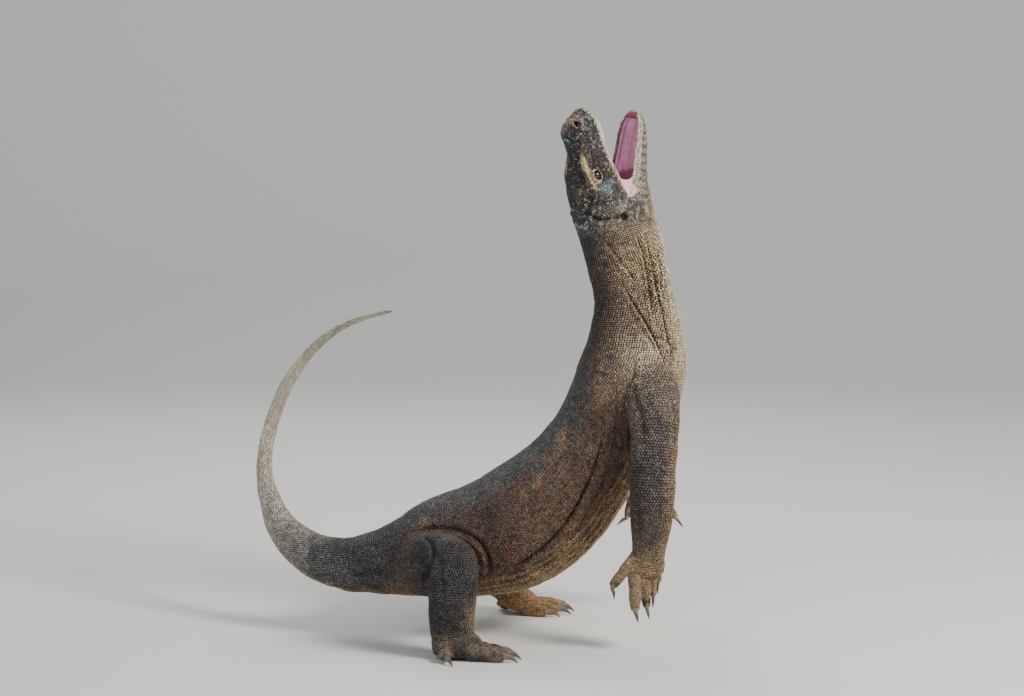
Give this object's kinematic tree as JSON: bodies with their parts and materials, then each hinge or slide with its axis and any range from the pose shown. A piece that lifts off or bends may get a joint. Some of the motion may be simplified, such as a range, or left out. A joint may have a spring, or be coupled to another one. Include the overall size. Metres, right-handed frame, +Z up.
{
  "type": "komodo dragon",
  "caption": "Life-size Komodo dragon model, reared up on its hind legs with its mouth open, its front legs hanging and its tail curled up behind.",
  "frame": {"origin": "on the floor, under the middle of the model's length and width", "axes": "+X the way the animal faces, +Y its left side, +Z up"},
  "size_m": [0.9328, 0.5962, 1.1146],
  "materials": {
    "skin_body": "dry beaded reptile skin, matt",
    "skin_tail": "dry beaded reptile skin, matt",
    "skin_leg": "dry beaded reptile skin, matt",
    "skin_paw": "dry beaded reptile skin, matt",
    "skin_head": "fine beaded reptile skin, matt",
    "skin_jaw": "fine beaded reptile skin, matt",
    "mouth": "wet lining",
    "claw": "smooth horn",
    "eye": "wet and glossy"
  },
  "bodies": {
    "root": {"tail_tip": "skin_tail", "tail_end": "skin_tail", "tail_middle": "skin_tail", "tail_base": "skin_tail", "trunk_rear": "skin_body", "trunk_front": "skin_body", "neck": "skin_body", "head": "skin_head", "lower_jaw": "skin_jaw", "mouth_floor": "mouth", "palate": "mouth", "eye_right": "eye", "eye_left": "eye", "mouth_corner_right": "mouth", "mouth_corner_left": "mouth", "hand_right": "skin_paw", "claw_hand_right_1": "claw", "claw_hand_right_2": "claw", "claw_hand_right_3": "claw", "claw_hand_right_4": "claw", "claw_hand_right_5": "claw", "hand_left": "skin_paw", "claw_hand_left_1": "claw", "claw_hand_left_2": "claw", "claw_hand_left_3": "claw", "claw_hand_left_4": "claw", "claw_hand_left_5": "claw", "foot_right": "skin_paw", "claw_foot_right_1": "claw", "claw_foot_right_2": "claw", "claw_foot_right_3": "claw", "claw_foot_right_4": "claw", "claw_foot_right_5": "claw", "foot_left": "skin_paw", "claw_foot_left_1": "claw", "claw_foot_left_2": "claw", "claw_foot_left_3": "claw", "claw_foot_left_4": "claw", "claw_foot_left_5": "claw", "upper_arm_right": "skin_leg", "forearm_right": "skin_leg", "thigh_right": "skin_leg", "shin_right": "skin_leg", "upper_arm_left": "skin_leg", "forearm_left": "skin_leg", "thigh_left": "skin_leg", "shin_left": "skin_leg"}
  },
  "joints": []
}
